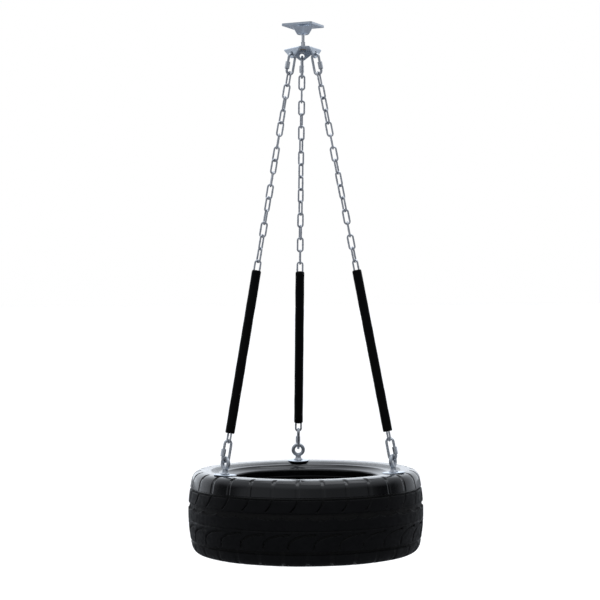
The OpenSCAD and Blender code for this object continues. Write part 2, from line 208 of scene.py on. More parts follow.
class Shader:
    """A material's node tree, with short calls for the nodes that the materials share."""

    def __init__(self, name):
        self.material = bpy.data.materials.new(name)
        self.material.use_nodes = True
        self.tree = self.material.node_tree
        self.principled = self.tree.nodes["Principled BSDF"]
        self.coords = self.tree.nodes.new("ShaderNodeTexCoord").outputs["Object"]

    def link(self, source, target):
        self.tree.links.new(source, target)

    def set(self, **values):
        for name, value in values.items():
            self.principled.inputs[name.replace("_", " ")].default_value = value

    def noise(self, scale, detail=3.0, rough=0.5):
        node = self.tree.nodes.new("ShaderNodeTexNoise")
        node.inputs["Scale"].default_value = scale
        node.inputs["Detail"].default_value = detail
        node.inputs["Roughness"].default_value = rough
        self.link(self.coords, node.inputs["Vector"])
        return node.outputs["Fac"]

    def attribute(self, name):
        node = self.tree.nodes.new("ShaderNodeAttribute")
        node.attribute_name = name
        return node.outputs["Fac"]

    def cells(self, scale):
        node = self.tree.nodes.new("ShaderNodeTexVoronoi")
        node.inputs["Scale"].default_value = scale
        self.link(self.coords, node.inputs["Vector"])
        return node.outputs["Distance"]

    def spread(self, value, low, high, to_low, to_high):
        node = self.tree.nodes.new("ShaderNodeMapRange")
        for name, number in (("From Min", low), ("From Max", high), ("To Min", to_low), ("To Max", to_high)):
            node.inputs[name].default_value = number
        self.link(value, node.inputs["Value"])
        return node.outputs["Result"]

    def mix(self, amount, first, second):
        node = self.tree.nodes.new("ShaderNodeMix")
        node.data_type = "RGBA"
        self.link(amount, node.inputs["Factor"])
        for socket, value in (("A", first), ("B", second)):
            target = [s for s in node.inputs if s.name == socket and s.type == "RGBA"][0]
            if isinstance(value, tuple):
                target.default_value = (*value, 1)
            else:
                self.link(value, target)
        return [s for s in node.outputs if s.type == "RGBA"][0]

    def bump(self, height, distance, strength=1.0):
        node = self.tree.nodes.new("ShaderNodeBump")
        node.inputs["Distance"].default_value = distance
        node.inputs["Strength"].default_value = strength
        self.link(height, node.inputs["Height"])
        if self.principled.inputs["Normal"].links:
            self.link(self.principled.inputs["Normal"].links[0].from_socket, node.inputs["Normal"])
        self.link(node.outputs["Normal"], self.principled.inputs["Normal"])


def zinc(name, light, dark, rough, spangle, grain=0.00006):
    """Zinc-coated steel: faint crystals, grey mottling and fine grain."""
    s = Shader(name)
    s.set(Metallic=1.0)
    mottle = s.spread(s.noise(70, 5), 0.35, 0.7, 0.0, 1.0)
    crystals = s.spread(s.cells(spangle), 0.1, 0.6, 0.0, 1.0)
    tone = s.mix(mottle, light, dark)
    s.link(s.mix(s.spread(crystals, 0, 1, 0.0, 0.35), tone, dark), s.principled.inputs["Base Color"])
    s.link(s.spread(s.noise(240, 4), 0.3, 0.7, rough - 0.07, rough + 0.08), s.principled.inputs["Roughness"])
    s.bump(s.noise(1400, 2), grain)
    return s.material


def rubber(name, colour, rough, specular):
    """Soft plastic or rubber, faintly clouded where it has been handled."""
    s = Shader(name)
    s.set(Specular_IOR_Level=specular)
    dull = s.spread(s.noise(28, 5, 0.6), 0.4, 0.75, 0.0, 1.0)
    s.link(s.mix(dull, colour, tuple(1.6 * c for c in colour)), s.principled.inputs["Base Color"])
    s.link(s.spread(s.noise(90, 4), 0.3, 0.7, rough - 0.05, rough + 0.06), s.principled.inputs["Roughness"])
    s.bump(s.noise(900, 3), 0.000008)
    return s.material


def tyre_rubber(name, specular, smooth, rough, grain):
    """Black rubber, with dry dust down in its grooves."""
    s = Shader(name)
    s.set(Specular_IOR_Level=specular)
    clouds = s.spread(s.noise(22, 5, 0.6), 0.4, 0.75, 0.0, 1.0)
    clean = s.mix(clouds, (0.0012, 0.0012, 0.0015), (0.0026, 0.0026, 0.003))
    dusty = s.mix(s.noise(160, 4), (0.005, 0.0048, 0.0045), (0.01, 0.0096, 0.009))
    s.link(s.mix(s.attribute("dust"), clean, dusty), s.principled.inputs["Base Color"])
    s.link(s.spread(s.noise(90, 5), 0.3, 0.7, smooth, rough), s.principled.inputs["Roughness"])
    s.bump(s.noise(1100, 4), 0.2 * grain)
    s.bump(s.noise(160, 5), grain)
    return s.material


def plain(name, colour, rough, metallic=0.0):
    """A turned or moulded surface, with a fine grain and a slight change of tone."""
    s = Shader(name)
    s.set(Metallic=metallic)
    s.link(s.mix(s.noise(120, 4), colour, tuple(0.82 * c for c in colour)), s.principled.inputs["Base Color"])
    s.link(s.spread(s.noise(300, 3), 0.3, 0.7, rough - 0.05, rough + 0.05), s.principled.inputs["Roughness"])
    s.bump(s.noise(1500, 2), 0.00004)
    return s.material


LOOKS = {
    "galvanised": zinc("galvanised", (0.62, 0.67, 0.73), (0.5, 0.55, 0.62), 0.36, 160),
    "zinc_plate": zinc("zinc_plate", (0.58, 0.6, 0.63), (0.42, 0.44, 0.47), 0.28, 500),
    "chain_zinc": zinc("chain_zinc", (0.62, 0.63, 0.66), (0.4, 0.42, 0.45), 0.24, 500),
    "forged_zinc": zinc("forged_zinc", (0.5, 0.52, 0.55), (0.36, 0.38, 0.41), 0.45, 300, 0.00014),
    "hard_steel": plain("hard_steel", (0.8, 0.81, 0.83), 0.34, 1.0),
    "bronze": plain("bronze", (0.66, 0.45, 0.22), 0.4, 1.0),
    "nylon": plain("nylon", (0.82, 0.8, 0.74), 0.5),
    "grip_vinyl": rubber("grip_vinyl", (0.001, 0.001, 0.0011), 0.5, 0.07),
    "tyre_rubber": tyre_rubber("tyre_rubber", 0.42, 0.13, 0.22, 0.00003),
    "tyre_tread": tyre_rubber("tyre_tread", 0.12, 0.45, 0.7, 0.00006),
}

SLOT_OF = {part["node"]: part["material_slot"] for part in frame["record"]["subparts"]}


def dress(made, slot_name):
    """Gives an object the finish of a material slot."""
    made.data.materials.clear()
    made.data.materials.append(LOOKS[slot_name])


for node_name, node_object in nodes.items():
    dress(node_object, SLOT_OF[node_name])

# ---------------------------------------------------------------- mesh helpers

MM = 0.001


def piece(name, verts, faces, slot_name, body, instead_of=(), sharp=35):
    """A finished piece of the object, from verts in the shared frame, riding on its body."""
    mesh = bpy.data.meshes.new(name)
    mesh.from_pydata(np.asarray(verts).tolist(), [], faces)
    return finish_piece(name, mesh, slot_name, body, instead_of, sharp)


def finish_piece(name, mesh, slot_name, body, instead_of=(), sharp=35):
    """Cleans a mesh, shades it smooth but for sharp edges, and gives it a material and a body to ride on."""
    work = bmesh.new()
    work.from_mesh(mesh)
    bmesh.ops.delete(work, geom=[v for v in work.verts if not v.link_faces], context="VERTS")
    bmesh.ops.recalc_face_normals(work, faces=work.faces)
    work.to_mesh(mesh)
    work.free()
    mesh.shade_smooth()
    mesh.set_sharp_from_angle(angle=math.radians(sharp))
    made = bpy.data.objects.new(name, mesh)
    bpy.context.scene.collection.objects.link(made)
    dress(made, slot_name)
    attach(made, body)
    if instead_of:
        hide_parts(*instead_of)
    return made


def grid_faces(rows, columns, close_rows=False):
    """Quads over a grid that closes on itself along its columns, numbered row by row."""
    faces = []
    for i in range(rows if close_rows else rows - 1):
        here, there = i * columns, ((i + 1) % rows) * columns
        for j in range(columns):
            beside = (j + 1) % columns
            faces.append((here + j, here + beside, there + beside, there + j))
    return faces


def moved(part, matrix):
    """A (verts, faces) part carried by a matrix."""
    turn = np.array(matrix)
    return np.asarray(part[0]) @ turn[:3, :3].T + turn[:3, 3], part[1]


def joined(parts):
    """Several (verts, faces) parts as one."""
    verts, faces, first = [], [], 0
    for part_verts, part_faces in parts:
        verts.append(part_verts)
        faces += [tuple(first + i for i in face) for face in part_faces]
        first += len(part_verts)
    return np.concatenate(verts), faces


def lathe(profile, columns=96, flats=None):
    """A closed profile of (radius, height) turned about Z. flats is half a nut's width across its flats."""
    profile = np.asarray(profile, float)
    angle = np.linspace(0, 2 * np.pi, columns, endpoint=False)
    radius = np.repeat(profile[:, :1], columns, 1)
    if flats is not None:
        radius = np.minimum(radius, flats / np.cos(angle % (np.pi / 3) - np.pi / 6))
    height = np.repeat(profile[:, 1:2], columns, 1)
    verts = np.stack([radius * np.cos(angle), radius * np.sin(angle), height], 2).reshape(-1, 3)
    return verts, grid_faces(len(profile), columns, close_rows=True)


def cubic(p0, p1, p2, p3, count=24):
    """Points of a cubic curve from p0 to p3, without its first point."""
    t = np.linspace(0, 1, count + 1)[1:, None]
    p0, p1, p2, p3 = (np.array(p, float) for p in (p0, p1, p2, p3))
    return p0 * (1 - t) ** 3 + 3 * p1 * (1 - t) ** 2 * t + 3 * p2 * (1 - t) * t ** 2 + p3 * t ** 3


def rounded(corners, radius, count=5):
    """A closed outline with its corners rounded. A corner may carry its own radius as a third number."""
    points = []
    for i, corner in enumerate(corners):
        here = np.array(corner[:2], float)
        size = corner[2] if len(corner) > 2 else radius
        back = np.array(corners[i - 1][:2]) - here
        on = np.array(corners[(i + 1) % len(corners)][:2]) - here
        reach = min(size, 0.45 * np.linalg.norm(back), 0.45 * np.linalg.norm(on))
        start = here + back / np.linalg.norm(back) * reach
        end = here + on / np.linalg.norm(on) * reach
        steps = np.linspace(0, 1, count)
        points += [start * (1 - t) ** 2 + 2 * here * t * (1 - t) + end * t ** 2 for t in steps]
    return points


def wire(path, radius, sides=18, closed=True):
    """A wire along a path of (x, z) points in the XZ plane. radius is one number, or one for each point."""
    path = np.asarray(path, float)
    radius = np.broadcast_to(radius, len(path))[:, None, None]
    along = np.roll(path, -1, 0) - np.roll(path, 1, 0) if closed else np.gradient(path, axis=0)
    along /= np.linalg.norm(along, axis=1)[:, None]
    middle = np.stack([path[:, 0], np.zeros(len(path)), path[:, 1]], 1)[:, None]
    side = np.stack([-along[:, 1], np.zeros(len(path)), along[:, 0]], 1)[:, None]
    angle = np.linspace(0, 2 * np.pi, sides, endpoint=False)[None, :, None]
    outward = side * np.cos(angle) + np.array([0.0, 1.0, 0.0]) * np.sin(angle)
    verts = (middle + radius * outward).reshape(-1, 3)
    faces = grid_faces(len(path), sides, close_rows=closed)
    if not closed:
        faces += [tuple(range(sides)), tuple(range((len(path) - 1) * sides, len(path) * sides))]
    return verts, faces


def half_circle(centre, radius, start, count=16):
    """Points of a half circle in the XZ plane, from an angle in degrees, clockwise."""
    return [(centre[0] + radius * math.cos(a), centre[1] + radius * math.sin(a))
            for a in np.radians(np.linspace(start, start - 180, count))]


# ---------------------------------------------------------------- places, as the frame gives them

LEG_JOINT = next(joint for joint in frame["joints"] if joint["name"] == "leg_1_turn")
LEG_UP = next(joint for joint in frame["joints"] if joint["name"] == "upper_nut_1_slide")["axis"]
LEG_LEAN = math.atan2(-LEG_UP[0], LEG_UP[2])
# The bolts stand this many millimetres from the tyre's axis
SEAT_R = 259
BOLT_RADIUS = SEAT_R * MM
BOLT_LEAN = math.radians(3)
WASHER_RADIUS = 30 * MM
SEAT_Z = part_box("eye_washer_1")[0][2] + WASHER_RADIUS * math.sin(BOLT_LEAN)
TYRE_LOW, TYRE_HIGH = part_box("tyre")
TYRE_Z = (TYRE_LOW[2] + TYRE_HIGH[2]) / 2


def on_leg(leg):
    """The turn about Z from the first leg to this one."""
    return Matrix.Rotation((leg - 1) * LEG_ANGLE, 4, "Z")


def leg_place(leg, down=0.0):
    """A leg's own frame: origin at the bottom of its ear's hole, -Z down the chain, X outwards."""
    place = on_leg(leg) @ Matrix.Translation(Vector(LEG_JOINT["pos_m"])) @ Matrix.Rotation(-LEG_LEAN, 4, "Y")
    return place @ Matrix.Translation((0, 0, -down))


def bolt_place(leg):
    """An eye bolt's own frame: origin on the sidewall, Z up the bolt."""
    return on_leg(leg) @ Matrix.Translation((BOLT_RADIUS, 0, SEAT_Z)) @ Matrix.Rotation(-BOLT_LEAN, 4, "Y")


# ---------------------------------------------------------------- chains

EAR_GAP = 1.5 * MM
LINK_GAP = 0.15 * MM
LINK_PITCH = 35 * MM
LINK_STEP = LINK_PITCH - LINK_GAP
LINK_COUNT = 29
LINK_WIRE = 2.5 * MM
LINK_BEND = 7.5 * MM
HALF_TURNS = {1: 12, 2: 13, 3: 10}
QUICK_LENGTH = 50 * MM
QUICK_WIRE = 3.5 * MM
QUICK_BEND = 10 * MM
FIRST_LINK = QUICK_LENGTH - EAR_GAP - LINK_GAP
LOWER_QUICK = FIRST_LINK + LINK_COUNT * LINK_STEP


def chain_link():
    """One welded link, its inside top at the origin, with the weld's swelling on one side."""
    top = LINK_WIRE - LINK_BEND
    bottom = -LINK_PITCH - top
    weld = np.linspace(bottom, top, 13)[1:-1]
    path = half_circle((0, top), LINK_BEND, 180) + [(LINK_BEND, z) for z in np.linspace(top, bottom, 5)[1:-1]]
    path += half_circle((0, bottom), LINK_BEND, 0) + [(-LINK_BEND, z) for z in weld]
    swell = 0.4 * MM * np.exp(-((weld - (top + bottom) / 2) / (2.2 * MM)) ** 2)
    radius = np.concatenate([np.full(len(path) - len(weld), LINK_WIRE), LINK_WIRE + swell])
    return wire(path, radius, sides=14)


def make_chain(leg):
    """One leg's links, each a quarter turn from the next but for the half turns laid into the chain."""
    link = chain_link()
    turn = HALF_TURNS[leg] * math.pi / (LINK_COUNT - 1)
    parts = []
    for i in range(LINK_COUNT):
        place = leg_place(leg, FIRST_LINK + i * LINK_STEP) @ Matrix.Rotation(math.pi / 2 + i * turn, 4, "Z")
        parts.append(moved(link, place))
    piece(f"chain_links_{leg}", *joined(parts), "chain_zinc", f"leg_{leg}", [f"chain_{leg}"])


# ---------------------------------------------------------------- quick links

QUICK_BAR_TOP = QUICK_WIRE - QUICK_BEND
QUICK_BAR_END = -QUICK_LENGTH - QUICK_BAR_TOP
STUB = 6 * MM
MOUTH = 9 * MM
NUT_RISE = 2.5 * MM
NUT_LENGTH = 20 * MM
NUT_FLATS = 5.5 * MM
NUT_BORE = QUICK_WIRE + 0.05 * MM
THREAD_PITCH = 1.25 * MM
THREAD_DEPTH = 0.45 * MM
THREAD_LENGTH = 5 * MM


def quick_link():
    """A quick link with cut threads on both sides of its mouth."""
    stub_end = QUICK_BAR_END + STUB
    bar_end = stub_end + MOUTH
    teeth = int(THREAD_LENGTH / THREAD_PITCH * 4)
    stub = np.linspace(stub_end, stub_end - THREAD_LENGTH, teeth)
    bar = np.linspace(bar_end + THREAD_LENGTH, bar_end, teeth)
    cut = QUICK_WIRE - THREAD_DEPTH * (0.5 - 0.5 * np.cos(np.arange(teeth) * np.pi / 2))
    cut[0] = QUICK_WIRE - THREAD_DEPTH
    path = [(QUICK_BEND, z) for z in stub] + half_circle((0, QUICK_BAR_END), QUICK_BEND, 0)
    path += half_circle((0, QUICK_BAR_TOP), QUICK_BEND, 180) + [(QUICK_BEND, z) for z in bar]
    plain_points = np.full(len(path) - 2 * teeth, QUICK_WIRE)
    return wire(path, np.concatenate([cut, plain_points, cut[::-1]]), sides=20, closed=False)


def hexagon_nut(length, flats, bore, rim=0.55 * MM):
    """A chamfered hexagon nut from z = 0 up."""
    corner = flats / math.cos(math.pi / 6) + 0.02 * MM
    face = flats - 0.1 * MM
    outline = [(bore, 0), (face, 0), (corner, rim), (corner, length - rim), (face, length), (bore, length)]
    return lathe(rounded(outline, 0.25 * MM, 3), 96, flats)


def make_quick_link(leg, where, down):
    """A quick link and its sleeve nut, which slides on its own body."""
    place = leg_place(leg, down)
    nut_place = place @ Matrix.Translation((QUICK_BEND, 0, QUICK_BAR_END + NUT_RISE))
    nut_place = nut_place @ Matrix.Rotation(math.pi / 6, 4, "Z")
    piece(f"{where}_connector_{leg}", *moved(quick_link(), place), "zinc_plate", f"leg_{leg}",
          [f"{where}_quick_link_{leg}"])
    nut = moved(hexagon_nut(NUT_LENGTH, NUT_FLATS, NUT_BORE), nut_place)
    piece(f"{where}_connector_nut_{leg}", *nut, "zinc_plate", f"{where}_nut_{leg}",
          [f"{where}_link_nut_{leg}"])


# ---------------------------------------------------------------- grip sleeves

GRIP_LENGTH = 440 * MM
GRIP_RADIUS = 12.5 * MM
GRIP_BORE = 10.3 * MM
GRIP_LIP = 0.5 * MM
GRIP_DRAWN = 5 * MM
GRIP_PRESS = 0.22 * MM
GRIP_WANDER = 0.1 * MM
GRIP_END = LOWER_QUICK + LINK_GAP - 22.5 * MM


def make_grip(leg):
    """A soft tube that shows a little of the links inside it, with its ends drawn in."""
    columns, rows = 72, 260
    angle = np.linspace(0, 2 * np.pi, columns, endpoint=False)[None]
    height = np.linspace(0, GRIP_LENGTH, rows)[:, None]
    to_end = np.minimum(height, GRIP_LENGTH - height)
    drawn = np.sqrt(1 - np.clip(1 - to_end / GRIP_DRAWN, 0, 1) ** 2.2)
    along = (GRIP_END - height - FIRST_LINK) / LINK_STEP
    turn = math.pi / 2 + np.floor(along) * HALF_TURNS[leg] * math.pi / (LINK_COUNT - 1)
    pressed = GRIP_PRESS * np.cos(2 * (angle - turn)) * np.sin(np.pi * (along % 1)) ** 2
    wander = GRIP_WANDER * np.sin(height * 55 + leg) * np.cos(angle - 2.1 * leg)
    radius = GRIP_BORE + GRIP_LIP + (GRIP_RADIUS - GRIP_BORE - GRIP_LIP + pressed + wander) * drawn
    outside = np.stack([radius * np.cos(angle), radius * np.sin(angle), np.repeat(height, columns, 1)], 2)
    inside = np.stack([GRIP_BORE * np.cos(angle) + 0 * height, GRIP_BORE * np.sin(angle) + 0 * height,
                       np.repeat(height, columns, 1)], 2)[::-20]
    verts = np.concatenate([outside.reshape(-1, 3), inside.reshape(-1, 3)])
    faces = grid_faces(rows + len(inside), columns, close_rows=True)
    piece(f"grip_tube_{leg}", *moved((verts, faces), leg_place(leg, GRIP_END)), "grip_vinyl", f"leg_{leg}",
          [f"grip_sleeve_{leg}"])


# ---------------------------------------------------------------- eye bolts

EYE_HEIGHT = 31.5 * MM
EYE_RING = 14.3 * MM
EYE_BAR = 5.1 * MM
SHANK_RADIUS = 5 * MM
SHANK_LENGTH = 24 * MM
SHOULDER_RADIUS = 12.5 * MM
SHOULDER_THICK = 1.6 * MM
WASHER_THICK = 3 * MM
WASHER_BORE = 5.4 * MM
WASHER_DISH = 0.7 * MM


def forged(name, part, voxel, rounds):
    """Melts overlapping closed shapes into one skin and softens the joins, as a forging has them."""
    mesh = bpy.data.meshes.new(name)
    mesh.from_pydata(np.asarray(part[0]).tolist(), [], part[1])
    rough = bpy.data.objects.new(name, mesh)
    bpy.context.scene.collection.objects.link(rough)
    melt = rough.modifiers.new("melt", "REMESH")
    melt.mode = "VOXEL"
    melt.voxel_size = voxel
    soften = rough.modifiers.new("soften", "SMOOTH")
    soften.factor = 0.6
    soften.iterations = rounds
    bpy.context.view_layer.update()
    made = bpy.data.meshes.new_from_object(rough.evaluated_get(bpy.context.evaluated_depsgraph_get()))
    bpy.data.objects.remove(rough)
    verts = np.zeros(len(made.vertices) * 3)
    made.vertices.foreach_get("co", verts)
    return verts.reshape(-1, 3), [tuple(face.vertices) for face in made.polygons]


def eye_bolt():
    """A forged eye, neck, shoulder and shank in one skin."""
    turns = np.linspace(0, 2 * np.pi, 72, endpoint=False)
    circle = [(EYE_RING * math.cos(a), EYE_RING * math.sin(a)) for a in turns]
    upright = Matrix.Translation((0, 0, EYE_HEIGHT)) @ Matrix.Rotation(math.pi / 2, 4, "Z")
    ring = moved(wire(circle, EYE_BAR, 28), upright)
    neck_top = EYE_HEIGHT - EYE_RING
    side = [(SHOULDER_RADIUS, WASHER_THICK), (SHOULDER_RADIUS, WASHER_THICK + SHOULDER_THICK)]
    side += [tuple(p) for p in cubic(side[-1], (9 * MM, 6 * MM), (7.4 * MM, 9 * MM), (7 * MM, neck_top), 12)]
    outline = [(0.02 * MM, -SHANK_LENGTH), (SHANK_RADIUS, -SHANK_LENGTH), (SHANK_RADIUS, WASHER_THICK), *side,
               (0.02 * MM, neck_top)]
    return forged("eye_bolt", joined([ring, lathe(outline, 64)]), 0.55 * MM, 5)


def washer(radius, bore, thick, dish):
    """A washer with a rolled edge, its top falling by dish from the bore to the edge."""
    outline = [(bore, 0), (radius, 0), (radius, thick - dish), (bore + 6 * MM, thick), (bore, thick)]
    return lathe(rounded(outline, 0.9 * MM), 96)


def make_eye_bolts():
    """The three eye bolts and the washers under them."""
    bolt = eye_bolt()
    plate = washer(WASHER_RADIUS, WASHER_BORE, WASHER_THICK, WASHER_DISH)
    for leg in LEGS:
        place = bolt_place(leg)
        piece(f"eye_bolt_forging_{leg}", *moved(bolt, place), "forged_zinc", "tyre_seat",
              [f"eye_bolt_{leg}"])
        piece(f"sidewall_washer_{leg}", *moved(plate, place), "galvanised", "tyre_seat",
              [f"eye_washer_{leg}"])


# ---------------------------------------------------------------- tyre, in millimetres about its own middle

TYRE_RADIUS = 320
CROWN_RADIUS = 420
TREAD_EDGE_H = 88
BEAD_RADIUS = 203.2
SEAT_H = 110.5
SIDEWALL = 8.5
# Degrees from one tread block to the next, and what a degree is on the tread
PITCH = 12
MM_PER_DEGREE = TYRE_RADIUS * math.pi / 180
COLUMNS = 1200
INNER_COLUMNS = COLUMNS // 5
TREAD_STEP = 1.5
SIDE_STEP = 2.2
# How far the tread's cuts go from its middle, along the tyre's surface
TREAD_REACH = 130
# Levels of the two outer grooves and of the middle rib's lower edge
UPPER_GROOVE, LOWER_GROOVE, RIB_EDGE = 65, -75, -17
RING_WIDTH, RING_DEPTH = 6.5, 6
CUT_WIDTH, CUT_DEPTH = 4.6, 4.2
# Notches over the shoulders and the shallow marks that run on from them, by their distance from the middle
NOTCH_WIDTH = 9.5
NOTCH_FROM, NOTCH_TO = 104, 125
TRAIL_FROM, TRAIL_TO, TRAIL_DEPTH = 68, 110, 1.1
SHOULDER_SCALE = 0.92
# Where each kind of cut starts within a pitch, in degrees
UPPER_PHASE, LOWER_PHASE, ARC_PHASE, SCALLOP_PHASE = 3.5, 8.1, 11, 8
ARC_REACH, ARC_LEVEL, ARC_RISE = 12.6, -56, 30
# The worn tread: below the upper groove, and outside these radii above and below the middle
TREAD_FLOOR, LOWER_SHOULDER = 306, 296
BEAD_RING_R, SHOULDER_RING_R = 226, 281
RIB_COUNT, RIBS_FROM, RIBS_TO = 240, 236, 258
# How far from a bolt the raised rings stop, and how much the whole surface wanders
WASHER_CLEAR = 33
SWELL = 0.22
DRAIN_RADIUS = 6
DRAIN_TURN = LEG_DEGREES // 2
BOLT_HOLE_RADIUS = 5.4
HOLE_CELLS = 12


def tyre_lines():
    """The tyre's outer line from the middle of the tread to the bead, and its inner line back again."""
    edge_r = TYRE_RADIUS - CROWN_RADIUS + math.sqrt(CROWN_RADIUS ** 2 - TREAD_EDGE_H ** 2)
    across = np.array([1, math.tan(BOLT_LEAN)])
    seat = np.array([SEAT_R, SEAT_H])
    crown = np.linspace(0, math.asin(TREAD_EDGE_H / CROWN_RADIUS), 40)
    crest = (SEAT_R + 30, SEAT_H - 0.4)
    flange = (BEAD_RADIUS + 17, SEAT_H - 12.5)
    heel = (BEAD_RADIUS, SEAT_H - 38)
    outer = [np.stack([TYRE_RADIUS + CROWN_RADIUS * (np.cos(crown) - 1), CROWN_RADIUS * np.sin(crown)], 1),
             cubic((edge_r, TREAD_EDGE_H), (edge_r - 2.7, 98.2), (SEAT_R + 43, SEAT_H - 2.5), crest),
             cubic(crest, (SEAT_R + 23, SEAT_H + 0.7), seat + 13 * across, seat),
             cubic(seat, seat - 12 * across, (BEAD_RADIUS + 27, SEAT_H - 6), flange),
             cubic(flange, (BEAD_RADIUS + 11, SEAT_H - 16.4), (BEAD_RADIUS + 5, SEAT_H - 18),
                   (BEAD_RADIUS + 1.3, SEAT_H - 19.5)),
             [(BEAD_RADIUS, SEAT_H - 21.5), heel]]
    under = seat + SIDEWALL * np.array([math.sin(BOLT_LEAN), -math.cos(BOLT_LEAN)])
    toe = (BEAD_RADIUS + 3.5, SEAT_H - 40)
    flat_end = under + 21 * across
    corner = (edge_r - 8, 70)
    inner = [[heel],
             cubic(heel, (BEAD_RADIUS + 0.4, SEAT_H - 40.5), (BEAD_RADIUS + 2, SEAT_H - 41), toe, 5),
             cubic(toe, (BEAD_RADIUS + 11, SEAT_H - 34), (BEAD_RADIUS + 19, SEAT_H - 14),
                   under - 21 * across, 12),
             [flat_end],
             cubic(flat_end, under + 31 * across, (edge_r - 9, 92), corner, 12),
             cubic(corner, (edge_r - 7, 50), (TYRE_RADIUS - 16, 30), (TYRE_RADIUS - 16, 0), 8)]
    return np.concatenate(outer), np.concatenate(inner)


def both_sides(line):
    """A half line and its mirror image below, from the mirrored end to the line's own end."""
    return np.concatenate([(line * [1, -1])[:0:-1], line])


def at_lengths(line, wanted):
    """Points of a line at the wanted lengths along it, and the outward normals there."""
    length = np.concatenate([[0], np.cumsum(np.linalg.norm(np.diff(line, axis=0), axis=1))])
    points = np.stack([np.interp(wanted, length, line[:, i]) for i in range(2)], 1)
    ahead = np.stack([np.interp(wanted + 0.8, length, line[:, i]) for i in range(2)], 1)
    behind = np.stack([np.interp(wanted - 0.8, length, line[:, i]) for i in range(2)], 1)
    along = (ahead - behind) / np.linalg.norm(ahead - behind, axis=1)[:, None]
    return points, np.stack([along[:, 1], -along[:, 0]], 1)


def step(value, soft):
    """0 well below zero, 1 well above, and smooth over a width of soft."""
    t = np.clip(value / soft + 0.5, 0, 1)
    return t * t * (3 - 2 * t)


def groove(distance, width, depth, soft=1.6):
    """The depth of a soft-edged groove, at a distance from its middle."""
    return depth * step(width / 2 - np.abs(distance), soft)


def from_phase(degrees, phase):
    """Degrees from the nearest of the marks that repeat every pitch."""
    return (degrees - phase + PITCH / 2) % PITCH - PITCH / 2


def to_curve(degrees, height, centre, reach, rise):
    """Distance in millimetres from a quarter ellipse that climbs from its left end to its top."""
    x = (degrees - centre[0]) / reach
    y = (height - centre[1]) / rise
    size = np.sqrt(x * x + y * y) + 1e-6
    slope = np.sqrt((x / (reach * MM_PER_DEGREE)) ** 2 + (y / rise) ** 2) + 1e-6
    return (size - 1) * size / slope


def shoulder(degrees, along, phase, side):
    """Notches over the shoulder's crest, running on as shallow marks to the outermost groove."""
    mark = from_phase(degrees, phase) * MM_PER_DEGREE * SHOULDER_SCALE
    reach = side * along
    notch = groove(mark, NOTCH_WIDTH, CUT_DEPTH) * step(reach - NOTCH_FROM, 30) * step(NOTCH_TO - reach, 3)
    trail = groove(mark, NOTCH_WIDTH, TRAIL_DEPTH) * step(reach - TRAIL_FROM, 2) * step(TRAIL_TO - reach, 10)
    return np.maximum(notch, trail)


def commas(degrees, height):
    """Cuts that hang from the upper groove and curl back as they narrow."""
    fall = np.clip((63 - height) / 32, 0, 1.2)
    distance = from_phase(degrees, UPPER_PHASE - 3.6 * fall ** 1.7) * MM_PER_DEGREE
    reached = step(height - 32, 3) * step(UPPER_GROOVE + 1 - height, 2)
    return groove(distance, 5.2 - 2 * fall, 4.5) * reached


def arcs(degrees, height):
    """Cuts that sweep up across a whole pitch, each from a short straight tail."""
    depth = 0
    first = (degrees - ARC_PHASE) % PITCH
    for turn in (0, PITCH):
        across = first + turn
        distance = to_curve(across, height, (ARC_REACH, ARC_LEVEL), ARC_REACH, ARC_RISE)
        inside = (across <= ARC_REACH + 0.2) & (height > ARC_LEVEL - 1)
        depth = np.maximum(depth, np.where(inside, groove(distance, CUT_WIDTH, CUT_DEPTH), 0))
    tail = groove(from_phase(degrees, ARC_PHASE) * MM_PER_DEGREE, CUT_WIDTH, CUT_DEPTH)
    return np.maximum(depth, tail * step(ARC_LEVEL - height, 2) * step(height + 66, 6))


def tread_depth(degrees, along):
    """How deep the tread is cut, in millimetres, at each angle and each length from its middle."""
    scallop = 18.5 - 7.5 * np.sin(np.pi * ((degrees - SCALLOP_PHASE) % PITCH) / PITCH) ** 0.8
    cuts = (
        groove(along - UPPER_GROOVE, RING_WIDTH, RING_DEPTH),
        groove(along - LOWER_GROOVE, RING_WIDTH, RING_DEPTH),
        RING_DEPTH * step(28 - along, 1.6) * step(along - scallop, 1.6),
        groove(along - RIB_EDGE, 2.6, 2.2),
        commas(degrees, along),
        arcs(degrees, along),
        shoulder(degrees, along, UPPER_PHASE, 1),
        shoulder(degrees, along, LOWER_PHASE, -1),
    )
    depth = cuts[0]
    for cut in cuts[1:]:
        depth = np.maximum(depth, cut)
    return depth


def sidewall_relief(degrees, radius, along):
    """Raised rings and fine ribs on the sidewalls, in millimetres, clear of the washers."""
    rings = 1.5 * np.exp(-((radius - BEAD_RING_R) / 2.6) ** 2)
    rings = rings + 0.7 * np.exp(-((radius - SHOULDER_RING_R) / 2.0) ** 2)
    half = LEG_DEGREES // 2
    sector = np.abs((degrees + half) % LEG_DEGREES - half)
    ribs = 0.55 * (0.5 + 0.5 * np.cos(np.radians(degrees) * RIB_COUNT))
    ribs = ribs * step(radius - RIBS_FROM, 3) * step(RIBS_TO - radius, 3) * step(sector - 14, 2)
    washers = step(np.hypot(sector * SEAT_R * math.pi / 180, radius - SEAT_R) - WASHER_CLEAR, 4)
    return (rings * washers + ribs) * step(np.abs(along) - TREAD_REACH, 6)


def window_rim(window, columns):
    """The grid points round a rectangle of cells, from its first corner."""
    (low_r, high_r), (low_c, high_c) = window
    ring = [(low_r, c) for c in range(low_c, high_c)] + [(r, high_c) for r in range(low_r, high_r)]
    ring += [(high_r, c) for c in range(high_c, low_c, -1)] + [(r, low_c) for r in range(high_r, low_r, -1)]
    return [r * columns + c % columns for r, c in ring]


